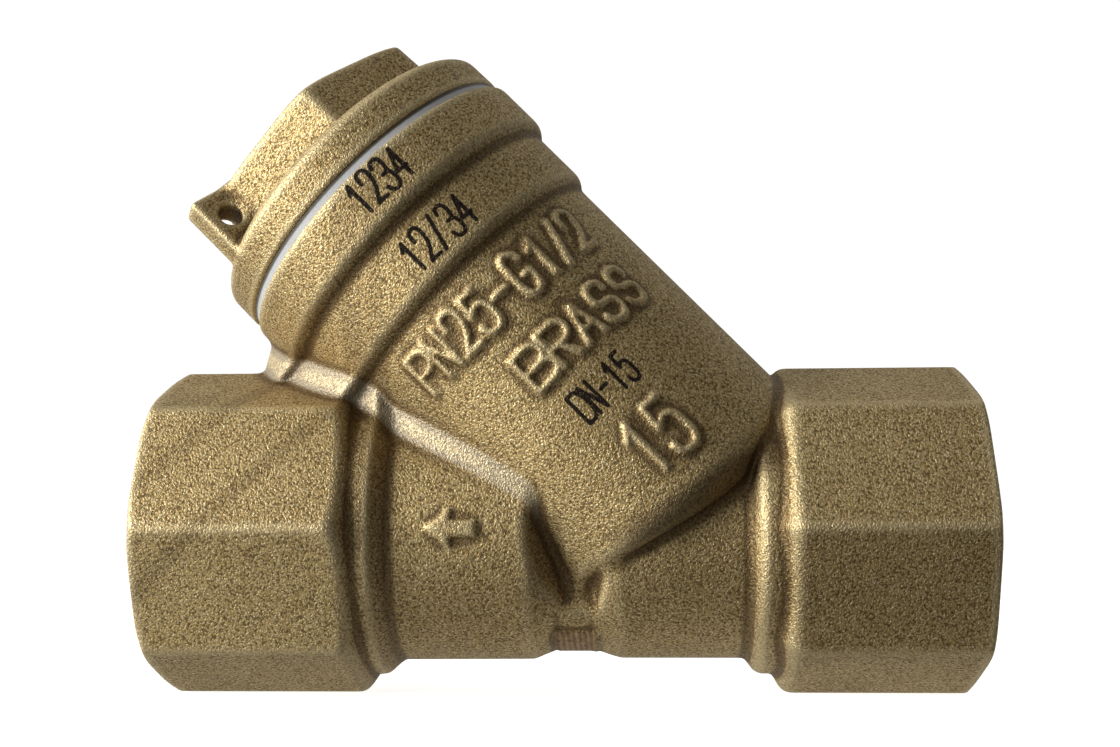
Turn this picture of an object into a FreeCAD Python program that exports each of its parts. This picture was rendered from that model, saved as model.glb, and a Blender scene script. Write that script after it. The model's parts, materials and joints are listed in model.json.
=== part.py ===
"""Threaded brass Y-strainer, nominal size DN 15, as an assembly of separate pieces.

A hot-forged body holds a round screen in a branch that leaves the run at 45 degrees.
A hexagon-headed cap screws into the branch over a flat gasket. Water enters at the inlet
socket, passes through the partition into the inside of the screen, leaves through the
woven mesh into the chamber around it, and runs out at the outlet socket.

Frame, in millimetres: origin at the centre of the inlet end face, +X out of the inlet along
the run, +Z on the side of the branch. The outlet is at -X, and the branch leans towards it.
"""

import FreeCAD
import Part

import math
import os

Vector = FreeCAD.Vector

# Run: the straight way through the body, along X. "back" is measured from the inlet face.
FACE_TO_FACE = 66.0
SOCKET_FLATS = 25.0
SOCKET_SIDES = 8
INLET_SOCKET_LENGTH = 14.2
OUTLET_SOCKET_LENGTH = 16.0
FACE_RADIUS = 12.9
FACE_CHAMFER_SLOPE = math.tan(math.radians(20))
SHOULDER_SLOPE = 0.9
INLET_BEAD_RADIUS = 11.8
INLET_BEAD_END = 16.9
OUTLET_BEAD_RADIUS = 11.95
OUTLET_BEAD_END = 47.4
BEAD_SLOPE_WIDTH = 1.3
RUN_RADIUS = 10.65
WAIST_RADIUS = 9.8
WAIST_START, WAIST_END = 30.6, 33.5
WAIST_SLOPE_WIDTH = 2.0
BORE_RADIUS = 7.5
OUTLET_BORE_END = 34.2
BLEND = 0.5
EDGE_BREAK = 0.2

# Pipe threads of the two sockets, ISO 7 Rp 1/2, as plain bores at the minor diameter.
THREAD_MINOR_RADIUS = 9.32
THREAD_ENTRY_RADIUS = 9.75
THREAD_ENTRY_DEPTH = 0.4
INLET_THREAD_LENGTH = 13.0
OUTLET_THREAD_LENGTH = 14.0
THREAD_END_CONE = 1.4

# How far a shape runs into or past another where they are joined or cut.
OVERRUN = 1.0

# Branch: turned shapes on the branch axis. "rise" is measured from where it crosses the run.
BRANCH_ANGLE = 45.0
BRANCH_CROSSING = 21.3
BARREL_END_RISE = 2.9
BARREL_FOOT_RADIUS = 12.95
BARREL_TOP_RADIUS = 13.2
LOWER_COLLAR_RISE = 28.0
LOWER_COLLAR_RADIUS = 13.9
UPPER_COLLAR_RISE = 33.5
UPPER_COLLAR_RADIUS = 14.75
COLLAR_SLOPE_WIDTH = 0.8
MOUTH_RISE = 38.4
CHAMBER_RADIUS = 10.5
CHAMBER_FLOOR_RISE = 7.0
SEAT_RADIUS = 9.1
SEAT_RISE = 5.8
PORT_RADIUS = 7.4
PORT_FOOT_RISE = -2.0

# Cap thread M24 x 1.5, as plain cylinders with running clearance.
CAP_BORE_RADIUS = 11.19
CAP_BORE_FOOT_RISE = 31.5
CAP_BORE_ENTRY_RADIUS = 12.1
CAP_PLUG_RADIUS = 11.1
CAP_PLUG_FOOT_RISE = 32.5
CAP_PLUG_CHAMFER = 0.7

# Cap head.
FLANGE_RADIUS = 14.5
FLANGE_FOOT_RISE = 39.2
FLANGE_TOP_RISE = 42.9
FLANGE_EDGE = 0.9
HEX_FLATS = 20.0
HEX_TOP_RISE = 47.75
HEX_VERTEX_ANGLE = 10.3
HEX_TOP_CHAMFER = 0.45
SOCKET_IN_CAP_RADIUS = 9.2
SOCKET_IN_CAP_TOP_RISE = 36.5
CAP_CAVITY_RADIUS = 7.6
CAP_CAVITY_TOP_RISE = 43.6
CAP_CAVITY_ROUNDING = 2.0
FIN_ANGLE = -52.5
FIN_THICKNESS = 2.4
FIN_ROOT_REACH = 8.5
FIN_REACH = 14.4
FIN_TOP_RISE = 47.8
WIRE_HOLE_RADIUS = 0.75
WIRE_HOLE_RISE = 45.2
WIRE_HOLE_REACH = 12.4

# Gasket between collar and flange, with a hair of room on each face.
GASKET_INNER_RADIUS = 12.15
GASKET_OUTER_RADIUS = 14.35
FACE_ROOM = 0.02

# Screen: a woven sleeve with a folded seam, and a pressed rim at each end.
MESH_OUTER_RADIUS = 8.85
MESH_THICKNESS = 0.5
RIM_OUTER_RADIUS = 9.0
RIM_INNER_RADIUS = 8.1
RIM_HEIGHT = 2.2
RIM_WALL = 0.15
SCREEN_FOOT_RISE = 5.85
SCREEN_TOP_RISE = 36.2
SEAM_ANGLE = 150.0
SEAM_WIDTH = 3.2
SEAM_THICKNESS = 0.35

# Raised flow arrow on the front of the run.
ARROW_CENTRE_BACK = 41.6
ARROW_LENGTH = 3.8
ARROW_WIDTH = 3.6
ARROW_SHAFT_WIDTH = 1.5
ARROW_HEIGHT = 0.35

X_AXIS = Vector(1, 0, 0)
Y_AXIS = Vector(0, 1, 0)
FRONT = Vector(0, -1, 0)
ALONG_BRANCH = Vector(-math.cos(math.radians(BRANCH_ANGLE)), 0, math.sin(math.radians(BRANCH_ANGLE)))
ACROSS_BRANCH = Vector(math.sin(math.radians(BRANCH_ANGLE)), 0, math.cos(math.radians(BRANCH_ANGLE)))
CROSSING = Vector(-BRANCH_CROSSING, 0, 0)


def outline_edges(corners):
    """Edges of a closed outline. Each corner is (point, rounding radius), and 0 leaves it sharp."""
    count = len(corners)
    starts, ends, arcs = [], [], []
    for i, (point, radius) in enumerate(corners):
        before = (corners[i - 1][0] - point).normalize()
        after = (corners[(i + 1) % count][0] - point).normalize()
        if radius == 0:
            starts.append(point)
            ends.append(point)
            arcs.append(None)
            continue
        half = before.getAngle(after) / 2
        reach = radius / math.tan(half)
        bisector = (before + after).normalize()
        centre = point + bisector * (radius / math.sin(half))
        starts.append(point + before * reach)
        ends.append(point + after * reach)
        arcs.append(Part.Arc(starts[-1], centre - bisector * radius, ends[-1]).toShape())
    edges = []
    for i in range(count):
        if arcs[i]:
            edges.append(arcs[i])
        following = starts[(i + 1) % count]
        if (following - ends[i]).Length > 1e-6:
            edges.append(Part.makeLine(ends[i], following))
    return edges


def turned(profile, origin, axis, radial):
    """Solid turned about an axis. Each profile entry is (distance along it, radius, rounding)."""
    corners = [(origin + axis * along + radial * out, rounding) for along, out, rounding in profile]
    face = Part.Face(Part.Wire(outline_edges(corners)))
    return Part.makeSolid(face.revolve(origin, axis, 360))


def on_run(profile):
    """Turned about the run, with distances measured back from the inlet face."""
    return turned(profile, Vector(0, 0, 0), X_AXIS * -1, Vector(0, 0, 1))


def on_branch(profile):
    """Turned about the branch, with distances measured up from where it crosses the run."""
    return turned(profile, CROSSING, ALONG_BRANCH, ACROSS_BRANCH)


def prism(corners, direction):
    """Solid swept straight from a flat outline."""
    face = Part.Face(Part.makePolygon(corners + corners[:1]))
    return Part.makeSolid(face.extrude(direction))


def branch_point(rise, reach, angle):
    """Point at a height and radius on the branch; angle 0 is the front, positive towards the inlet."""
    turn = math.radians(angle)
    radial = ACROSS_BRANCH * math.sin(turn) + FRONT * math.cos(turn)
    return CROSSING + ALONG_BRANCH * rise + radial * reach


def branch_box(rise, height, reach_from, reach_to, width, angle):
    """Block standing on the branch, its length radial at the given angle and its width around it."""
    turn = math.radians(angle)
    radial = ACROSS_BRANCH * math.sin(turn) + FRONT * math.cos(turn)
    around = ALONG_BRANCH.cross(radial)
    corner = CROSSING + ALONG_BRANCH * rise + radial * reach_from - around * (width / 2)
    length = radial * (reach_to - reach_from)
    side = around * width
    return prism([corner, corner + length, corner + length + side, corner + side], ALONG_BRANCH * height)


def ring_of_points(count, radius, centre, first, second, start):
    """Corners of a regular polygon; the angle runs from the first direction to the second."""
    points = []
    for i in range(count):
        turn = math.radians(start + 360 * i / count)
        points.append(centre + (first * math.cos(turn) + second * math.sin(turn)) * radius)
    return points


def socket_outside(face_back, length, inward):
    """Octagonal end with a corner facing the front, turned down at its face and its shoulder."""
    corner_radius = SOCKET_FLATS / 2 / math.cos(math.pi / SOCKET_SIDES)
    outside_face = Vector(-face_back + inward, 0, 0)
    corners = ring_of_points(SOCKET_SIDES, corner_radius, outside_face, FRONT, Vector(0, 0, 1), 0)
    blank = prism(corners, X_AXIS * (-inward * (length + 4 * OVERRUN)))
    widest = corner_radius + OVERRUN
    foot = length + (corner_radius - RUN_RADIUS) * SHOULDER_SLOPE
    envelope = [
        (0, 0),
        (0, FACE_RADIUS),
        ((widest - FACE_RADIUS) * FACE_CHAMFER_SLOPE, widest),
        (length - (widest - corner_radius) * SHOULDER_SLOPE, widest),
        (foot, RUN_RADIUS),
        (foot, 0),
    ]
    limit = on_run([(face_back + inward * along, out, 0) for along, out in envelope])
    return blank.common(limit)


def run_outside():
    """Round run with a bead behind each socket and a waist opposite the partition."""
    return on_run([
        (INLET_SOCKET_LENGTH - OVERRUN, 0, 0),
        (INLET_SOCKET_LENGTH - OVERRUN, INLET_BEAD_RADIUS, 0),
        (INLET_BEAD_END, INLET_BEAD_RADIUS, BLEND),
        (INLET_BEAD_END + BEAD_SLOPE_WIDTH, RUN_RADIUS, BLEND),
        (WAIST_START - WAIST_SLOPE_WIDTH, RUN_RADIUS, 2 * BLEND),
        (WAIST_START, WAIST_RADIUS, 2 * BLEND),
        (WAIST_END, WAIST_RADIUS, 2 * BLEND),
        (WAIST_END + WAIST_SLOPE_WIDTH, RUN_RADIUS, 2 * BLEND),
        (OUTLET_BEAD_END - BEAD_SLOPE_WIDTH, RUN_RADIUS, BLEND),
        (OUTLET_BEAD_END, OUTLET_BEAD_RADIUS, BLEND),
        (FACE_TO_FACE - OUTLET_SOCKET_LENGTH + OVERRUN, OUTLET_BEAD_RADIUS, 0),
        (FACE_TO_FACE - OUTLET_SOCKET_LENGTH + OVERRUN, 0, 0),
    ])


def branch_outside():
    """Barrel with two collars that step out towards the mouth."""
    lower, upper = LOWER_COLLAR_RISE, UPPER_COLLAR_RISE
    half = COLLAR_SLOPE_WIDTH / 2
    return on_branch([
        (BARREL_END_RISE, 0, 0),
        (BARREL_END_RISE, BARREL_FOOT_RADIUS, 2 * BLEND),
        (lower - half, BARREL_TOP_RADIUS, BLEND),
        (lower + half, LOWER_COLLAR_RADIUS, BLEND),
        (upper - half, LOWER_COLLAR_RADIUS, BLEND),
        (upper + half, UPPER_COLLAR_RADIUS, BLEND),
        (MOUTH_RISE, UPPER_COLLAR_RADIUS, EDGE_BREAK),
        (MOUTH_RISE, 0, 0),
    ])


def flow_arrow():
    """Raised arrow that points at the outlet, on the front of the run."""
    tip = -ARROW_CENTRE_BACK - ARROW_LENGTH / 2
    barb, tail = tip + ARROW_LENGTH / 2, tip + ARROW_LENGTH
    half, shaft = ARROW_WIDTH / 2, ARROW_SHAFT_WIDTH / 2
    upper = [(tip, 0), (barb, half), (barb, shaft), (tail, shaft)]
    flat = upper + [(x, -z) for x, z in reversed(upper[1:])]
    blank = prism([Vector(x, -RUN_RADIUS + 2 * OVERRUN, z) for x, z in flat], FRONT * 4 * OVERRUN)
    top_start = Vector(tip - OVERRUN, 0, 0)
    top = Part.makeCylinder(RUN_RADIUS + ARROW_HEIGHT, ARROW_LENGTH + 2 * OVERRUN, top_start, X_AXIS)
    return blank.common(top)


def socket_bore(face_back, thread_length, bore_end, inward):
    """Threaded socket with a small lead-in, then the round way on to bore_end."""
    profile = [
        (-OVERRUN, 0, 0),
        (-OVERRUN, THREAD_ENTRY_RADIUS + OVERRUN, 0),
        (0, THREAD_ENTRY_RADIUS, 0),
        (THREAD_ENTRY_DEPTH, THREAD_MINOR_RADIUS, 0),
        (thread_length, THREAD_MINOR_RADIUS, 0),
        (thread_length + THREAD_END_CONE, BORE_RADIUS, 0),
        (bore_end, BORE_RADIUS, 0),
        (bore_end, 0, 0),
    ]
    return on_run([(face_back + inward * along, out, rounding) for along, out, rounding in profile])


def branch_bore():
    """Everything cut from the branch: cap bore, screen chamber, screen seat and inlet port."""
    entry = CAP_BORE_ENTRY_RADIUS - CAP_BORE_RADIUS
    return on_branch([
        (PORT_FOOT_RISE, 0, 0),
        (PORT_FOOT_RISE, PORT_RADIUS, 0),
        (SEAT_RISE, PORT_RADIUS, 0),
        (SEAT_RISE, SEAT_RADIUS, 0),
        (CHAMBER_FLOOR_RISE, SEAT_RADIUS, 0),
        (CHAMBER_FLOOR_RISE, CHAMBER_RADIUS, 0),
        (CAP_BORE_FOOT_RISE, CHAMBER_RADIUS, 0),
        (CAP_BORE_FOOT_RISE, CAP_BORE_RADIUS, 0),
        (MOUTH_RISE - entry, CAP_BORE_RADIUS, 0),
        (MOUTH_RISE, CAP_BORE_ENTRY_RADIUS, 0),
        (MOUTH_RISE + OVERRUN, CAP_BORE_ENTRY_RADIUS, 0),
        (MOUTH_RISE + OVERRUN, 0, 0),
    ])


def body():
    outside = run_outside().fuse([
        socket_outside(0, INLET_SOCKET_LENGTH, 1),
        socket_outside(FACE_TO_FACE, OUTLET_SOCKET_LENGTH, -1),
        branch_outside(),
        flow_arrow(),
    ])
    outlet_reach = FACE_TO_FACE - OUTLET_BORE_END
    return outside.removeSplitter().cut([
        socket_bore(0, INLET_THREAD_LENGTH, BRANCH_CROSSING, 1),
        socket_bore(FACE_TO_FACE, OUTLET_THREAD_LENGTH, outlet_reach, -1),
        branch_bore(),
    ])


def cap():
    """Hexagon head with a sealing fin, round flange, and a hollow plug that holds the screen's top."""
    turned_part = on_branch([
        (CAP_PLUG_FOOT_RISE, 0, 0),
        (CAP_PLUG_FOOT_RISE, CAP_PLUG_RADIUS - CAP_PLUG_CHAMFER, 0),
        (CAP_PLUG_FOOT_RISE + CAP_PLUG_CHAMFER, CAP_PLUG_RADIUS, 0),
        (FLANGE_FOOT_RISE, CAP_PLUG_RADIUS, 0),
        (FLANGE_FOOT_RISE, FLANGE_RADIUS, EDGE_BREAK),
        (FLANGE_TOP_RISE, FLANGE_RADIUS, FLANGE_EDGE),
        (FLANGE_TOP_RISE, 0, 0),
    ])
    head_foot = FLANGE_TOP_RISE - OVERRUN
    hex_corner = HEX_FLATS / 2 / math.cos(math.pi / 6)
    base = CROSSING + ALONG_BRANCH * head_foot
    corners = ring_of_points(6, hex_corner, base, FRONT, ACROSS_BRANCH, HEX_VERTEX_ANGLE)
    head = prism(corners, ALONG_BRANCH * (HEX_TOP_RISE - head_foot))
    head_limit = on_branch([
        (head_foot, 0, 0),
        (head_foot, hex_corner, 0),
        (HEX_TOP_RISE - HEX_TOP_CHAMFER, hex_corner, 0),
        (HEX_TOP_RISE, hex_corner - 2 * HEX_TOP_CHAMFER, 0),
        (HEX_TOP_RISE, 0, 0),
    ])
    fin = branch_box(head_foot, FIN_TOP_RISE - head_foot, FIN_ROOT_REACH, FIN_REACH, FIN_THICKNESS, FIN_ANGLE)
    around = ALONG_BRANCH.cross(branch_point(0, 1, FIN_ANGLE) - CROSSING)
    hole_start = branch_point(WIRE_HOLE_RISE, WIRE_HOLE_REACH, FIN_ANGLE) - around * FIN_THICKNESS
    wire_hole = Part.makeCylinder(WIRE_HOLE_RADIUS, 2 * FIN_THICKNESS, hole_start, around)
    hollow = on_branch([
        (CAP_PLUG_FOOT_RISE - OVERRUN, 0, 0),
        (CAP_PLUG_FOOT_RISE - OVERRUN, SOCKET_IN_CAP_RADIUS, 0),
        (SOCKET_IN_CAP_TOP_RISE, SOCKET_IN_CAP_RADIUS, 0),
        (SOCKET_IN_CAP_TOP_RISE, CAP_CAVITY_RADIUS, 0),
        (CAP_CAVITY_TOP_RISE, CAP_CAVITY_RADIUS, CAP_CAVITY_ROUNDING),
        (CAP_CAVITY_TOP_RISE, 0, 0),
    ])
    return turned_part.fuse([head.common(head_limit), fin]).removeSplitter().cut([wire_hole, hollow])


def ring(foot, top, inner, outer):
    """Plain ring on the branch axis."""
    return on_branch([(foot, inner, 0), (foot, outer, 0), (top, outer, 0), (top, inner, 0)])


def cap_gasket():
    foot, top = MOUTH_RISE + FACE_ROOM, FLANGE_FOOT_RISE - FACE_ROOM
    return ring(foot, top, GASKET_INNER_RADIUS, GASKET_OUTER_RADIUS)


def screen_mesh():
    foot = SCREEN_FOOT_RISE + RIM_WALL
    top = SCREEN_TOP_RISE - RIM_WALL
    return ring(foot, top, MESH_OUTER_RADIUS - MESH_THICKNESS, MESH_OUTER_RADIUS)


def screen_rim(closed_rise, open_rise):
    """Pressed channel that grips the mesh: closed at one end, open towards the middle."""
    wall = RIM_WALL if open_rise > closed_rise else -RIM_WALL
    return on_branch([
        (closed_rise, RIM_INNER_RADIUS, 0),
        (closed_rise, RIM_OUTER_RADIUS, 0),
        (open_rise, RIM_OUTER_RADIUS, 0),
        (open_rise, MESH_OUTER_RADIUS, 0),
        (closed_rise + wall, MESH_OUTER_RADIUS, 0),
        (closed_rise + wall, MESH_OUTER_RADIUS - MESH_THICKNESS, 0),
        (open_rise, MESH_OUTER_RADIUS - MESH_THICKNESS, 0),
        (open_rise, RIM_INNER_RADIUS, 0),
    ])


def screen_seam():
    """Folded strip that closes the rolled mesh, lying on its outside between the rims."""
    foot = SCREEN_FOOT_RISE + RIM_HEIGHT
    height = SCREEN_TOP_RISE - SCREEN_FOOT_RISE - 2 * RIM_HEIGHT
    strip = ring(foot, foot + height, MESH_OUTER_RADIUS, MESH_OUTER_RADIUS + SEAM_THICKNESS)
    beyond = MESH_OUTER_RADIUS + SEAM_THICKNESS + OVERRUN
    keep = branch_box(foot - OVERRUN, height + 2 * OVERRUN, 0, beyond, SEAM_WIDTH, SEAM_ANGLE)
    return strip.common(keep)


NODES = {
    "body": body,
    "cap": cap,
    "cap_gasket": cap_gasket,
    "screen_mesh": screen_mesh,
    "screen_seam": screen_seam,
    "screen_foot_rim": lambda: screen_rim(SCREEN_FOOT_RISE, SCREEN_FOOT_RISE + RIM_HEIGHT),
    "screen_top_rim": lambda: screen_rim(SCREEN_TOP_RISE, SCREEN_TOP_RISE - RIM_HEIGHT),
}


def main():
    os.makedirs("parts", exist_ok=True)
    for name, make in NODES.items():
        shape = make()
        solids = shape.Solids
        if not solids or not shape.isValid():
            raise RuntimeError(f"{name} is not a valid solid")
        print(f"{name}: {len(solids)} solid(s), {shape.Volume:.1f} mm3")
        kept = solids[0] if len(solids) == 1 else Part.makeCompound(solids)
        kept.exportStep(f"parts/{name}.step")


main()
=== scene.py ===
"""Looks for a forged brass Y-strainer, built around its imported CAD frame.

The body and the cap are each one forging, so each is described as a field of signed distances in
millimetres, where soft unions give the forged fillets, and is then meshed. The screen is woven
from wires. The gasket, the rims and the seam are the CAD's own, with their own materials.
"""

import json
import math

import bpy
import numpy as np
import openvdb
from mathutils import Euler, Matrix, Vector


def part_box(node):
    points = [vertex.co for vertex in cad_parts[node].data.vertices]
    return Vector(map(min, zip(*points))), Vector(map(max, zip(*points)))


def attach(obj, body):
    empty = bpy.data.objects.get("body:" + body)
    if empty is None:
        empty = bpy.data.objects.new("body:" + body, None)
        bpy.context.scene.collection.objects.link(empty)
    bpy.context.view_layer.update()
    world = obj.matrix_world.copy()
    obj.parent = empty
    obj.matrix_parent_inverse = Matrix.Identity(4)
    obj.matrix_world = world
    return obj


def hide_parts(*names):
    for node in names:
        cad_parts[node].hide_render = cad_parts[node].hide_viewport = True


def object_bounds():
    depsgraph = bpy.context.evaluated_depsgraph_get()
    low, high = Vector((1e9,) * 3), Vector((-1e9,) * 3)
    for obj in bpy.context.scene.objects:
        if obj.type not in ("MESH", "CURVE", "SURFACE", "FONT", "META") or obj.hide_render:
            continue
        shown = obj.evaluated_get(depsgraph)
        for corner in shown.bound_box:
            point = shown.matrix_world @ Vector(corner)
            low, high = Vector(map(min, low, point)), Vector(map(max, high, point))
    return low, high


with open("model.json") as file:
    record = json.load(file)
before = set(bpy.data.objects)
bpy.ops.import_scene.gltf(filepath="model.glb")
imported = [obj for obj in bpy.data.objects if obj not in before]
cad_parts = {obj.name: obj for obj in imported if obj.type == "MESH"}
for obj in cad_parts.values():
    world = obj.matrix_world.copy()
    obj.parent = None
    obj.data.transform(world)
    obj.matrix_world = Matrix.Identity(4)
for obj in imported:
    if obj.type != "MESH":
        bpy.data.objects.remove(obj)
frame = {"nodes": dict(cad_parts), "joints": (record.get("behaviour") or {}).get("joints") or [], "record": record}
cad_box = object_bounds()

MM = 0.001
MOUNTS = {mount["name"]: mount for mount in frame["record"]["mounts"]}
JOINTS = {joint["name"]: joint for joint in frame["joints"]}
VOXEL = 0.18

# Run: "back" is measured from the inlet face towards the outlet. All sizes are in millimetres.
FACE_TO_FACE = -MOUNTS["outlet_thread"]["pos_m"][0] / MM
CORNER_RADIUS = -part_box("body")[0].z / MM
FLAT_RADIUS = CORNER_RADIUS * math.cos(math.pi / 8)
BORE_RADIUS = 7.5

# Sockets: radius at the face and slope in degrees of the chamfer there, length to the shoulder, the
# shoulder's slope per millimetre of radius, whether it is turned rather than forged, and how much
# shorter the socket gets per millimetre of height.
INLET = {
    "face_radius": 12.9, "face_slope": 20.0, "length": 15.2,
    "shoulder_slope": 0.6, "turned": False, "lean": 0.0,
}
OUTLET = {
    "face_radius": 12.65, "face_slope": 28.0, "length": 15.9,
    "shoulder_slope": 0.6, "turned": True, "lean": 0.04,
}

# Run between the sockets: (back, radius) of its beads, its plain lengths and its waist.
INLET_RUN_RADIUS = 10.6
OUTLET_RUN_RADIUS = 10.7
WAIST_RADIUS = 9.85
RUN_HALF_LENGTH = 22
RUN_PROFILE = [
    (10.0, 11.85), (17.1, 11.85), (17.6, 11.6), (18.2, 10.75), (18.5, INLET_RUN_RADIUS),
    (28.4, INLET_RUN_RADIUS), (29.3, 10.35), (30.7, WAIST_RADIUS), (33.4, WAIST_RADIUS), (34.8, 10.4),
    (35.5, OUTLET_RUN_RADIUS), (46.3, 10.75), (46.9, 11.15), (47.7, 11.9), (48.4, 11.95), (56.0, 11.95),
]

# Hollow in the front and back of the waist: distance of its flat floor from the middle plane, its
# foot, and where each of its two walls starts on the run's surface and how much it slopes. Trimmed
# flash with upright tool marks is left below it.
HOLLOW_FLOOR = 7.4
HOLLOW_FOOT = -8.0
OUTLET_WALL_BACK, OUTLET_WALL_SLOPE = 35.7, 0.9
INLET_WALL_BACK, INLET_WALL_SLOPE = 29.0, 0.4
FLASH_BACKS = (30.2, 33.7)
FLASH_HEIGHT = 0.2
FLASH_PITCH = 0.45

# Branch: "rise" is measured up its axis from where that crosses the run's. The barrel's lower end
# leans, and slopes, from its tip, which is at the end's outlet side.
RISE = np.array(JOINTS["cap_turn"]["axis"])
HINGE = np.array(JOINTS["cap_turn"]["pos_m"]) / MM
CROSSING = HINGE - RISE * (HINGE[2] / RISE[2])
FRONT = np.array([0.0, -1.0, 0.0])
ACROSS = np.cross(RISE, FRONT)
BARREL_END = 3.3
BARREL_END_LEAN = 0.265
TIP_ACROSS = -6.8
END_SLOPE = 0.2
BEVEL_PER_RISE = 0.065
MOUTH = 38.4
BARREL_RADIUS = 12.95
BARREL_PROFILE = [
    (0.0, BARREL_RADIUS), (3.0, BARREL_RADIUS), (26.9, 13.2), (27.6, 13.25), (28.3, 13.8),
    (28.7, 13.9), (33.0, 13.95), (33.4, 14.05), (34.0, 14.65), (34.4, 14.75), (38.6, 14.8), (40.0, 14.8),
]

# Bores of the branch: the port from the inlet, the screen's seat, and the chamber round the screen.
PORT_RADIUS, PORT_FOOT = 7.4, -2.0
SEAT_RADIUS, SEAT_FOOT = 9.1, 5.8
CHAMBER_RADIUS, CHAMBER_FOOT = 10.5, 7.0
MOUTH_THREAD_FOOT = 31.5

# Pipe threads and the cap's thread.
PIPE_THREAD = {"minor": 9.32, "depth": 1.16, "pitch": 1.814}
CAP_THREAD = {"minor": 11.19, "depth": 0.8, "pitch": 1.5}
THREAD_LENGTH = {"inlet": 13.0, "outlet": 14.0}
PLUG_CLEARANCE = 0.1

# Cap head.
FLANGE_RADIUS = 14.5
FLANGE_FOOT, FLANGE_TOP = 39.2, 42.9
PLUG_FOOT = 32.5
HEX_FLAT_RADIUS = 10.15
HEX_TOP = 47.75
HEX_CORNER_ANGLE = 10.3
HEX_DRAFT = 2.0
HEX_CHAMFER_RADIUS, HEX_CHAMFER_SLOPE = 10.6, 0.45
RIM_SOCKET_RADIUS, RIM_SOCKET_TOP = 9.2, 36.5
CAVITY_RADIUS, CAVITY_TOP = 7.6, 43.6
FIN_ANGLE = -52.5
FIN_THICKNESS = 2.15
FIN_REACH = 14.4
WIRE_HOLE_RADIUS = 0.97
WIRE_HOLE_RISE = 45.2
WIRE_HOLE_REACH = 12.4

# Strokes of the plain letters, on a cell GLYPH_WIDTH wide and 1 high, which is stretched to fill
# GLYPH_SHARE of the letter spacing. "round" strokes are drawn as curves.
GLYPH_WIDTH = 0.6
GLYPH_SHARE = 0.68
BOWL = [(0, 1), (0.75, 1), (0.75, 0.48), (0, 0.48)]
STEM = [(0, 0), (0, 1)]
GLYPHS = {
    "A": {"straight": [[(0, 0), (0.3, 1), (0.6, 0)], [(0.1, 0.33), (0.5, 0.33)]]},
    "B": {"straight": [STEM], "round": [BOWL, [(0, 0.48), (0.8, 0.5), (0.8, 0), (0, 0)]]},
    "D": {"straight": [STEM], "round": [[(0, 1), (0.8, 1), (0.8, 0), (0, 0)]]},
    "G": {
        "straight": [[(0.35, 0.42), (0.6, 0.42)]],
        "round": [[(0.6, 0.8), (0.5, 1), (0, 1.1), (0, -0.1), (0.6, -0.05), (0.6, 0.42)]],
    },
    "N": {"straight": [[(0, 0), (0, 1), (0.58, 0), (0.58, 1)]]},
    "P": {"straight": [STEM], "round": [BOWL]},
    "R": {"straight": [STEM, [(0.25, 0.48), (0.6, 0)]], "round": [BOWL]},
    "S": {"round": [[
        (0.56, 0.8), (0.5, 1.05), (0, 1.05), (0, 0.5), (0.6, 0.5), (0.6, -0.05), (0.1, -0.05), (0, 0.2),
    ]]},
    "1": {"straight": [[(0.1, 0.76), (0.34, 1), (0.34, 0)]]},
    "2": {
        "straight": [[(0, 0), (0.6, 0)]],
        "round": [[(0.02, 0.74), (0.05, 1.08), (0.64, 1.08), (0.6, 0.5), (0, 0)]],
    },
    "3": {"round": [
        [(0.02, 0.85), (0.1, 1.05), (0.62, 1.05), (0.6, 0.52), (0.2, 0.52)],
        [(0.2, 0.52), (0.66, 0.52), (0.66, -0.05), (0.08, -0.05), (0, 0.17)],
    ]},
    "4": {"straight": [[(0.45, 0), (0.45, 1), (0, 0.3), (0.6, 0.3)]]},
    "5": {
        "straight": [[(0.55, 1), (0.08, 1), (0.04, 0.55)]],
        "round": [[(0.04, 0.55), (0.3, 0.7), (0.66, 0.6), (0.66, -0.05), (0.08, -0.05), (0, 0.17)]],
    },
    "/": {"straight": [[(0.05, -0.05), (0.55, 1.05)]]},
    "-": {"straight": [[(0.05, 0.5), (0.55, 0.5)]]},
}

# Marks on the branch: text, rise of the baseline, angles from the front where it starts and ends,
# letter height. Angles grow towards the inlet.
RAISED_MARKS = [
    ("PN25-G1/2", 22.3, -37, 49, 3.4),
    ("BRASS", 16.4, -10, 48, 3.2),
    ("15", 5.6, -3, 20, 4.4),
]
PRINTED_MARKS = [
    ("1234", 35.2, -7.4, 13.9, 2.7),
    ("12/34", 29.3, -8.8, 18.9, 2.7),
    ("DN-15", 12.0, -5.0, 20.5, 2.6),
]
MARKED_RADIUS = 13.0
RAISED_STROKE = 0.62
RAISED_HEIGHT = 0.32
PRINTED_STROKE = 0.36
PRINTED_RADIUS = 14.0
NO_INK = 5.0

# Raised flow arrow on the front of the run, pointing at the outlet.
ARROW_TIP_BACK = 43.6
ARROW_HEAD = 2.3
ARROW_LENGTH = 4.3
ARROW_HALF_WIDTH = 1.75
ARROW_SHAFT = 1.5


# ---------------------------------------------------------------- fields


def soft_max(a, b, softness):
    """Larger of two fields, with the crease between them rounded over about that distance."""
    overlap = np.maximum(softness - np.abs(a - b), 0) / softness
    return np.maximum(a, b) + overlap * overlap * softness / 4


def soft_min(a, b, softness):
    return -soft_max(-a, -b, softness)


def softened(profile, softness):
    """Evenly spaced samples of a profile with its corners rounded over about that distance."""
    step = 0.05
    places, radii = np.array(profile).T
    fine = np.arange(places[0], places[-1] + step, step)
    kernel = np.hanning(int(softness / step) * 2 + 3)
    padded = np.pad(np.interp(fine, places, radii), len(kernel) // 2, mode="edge")
    return fine, np.convolve(padded, kernel / kernel.sum(), mode="valid")


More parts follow.
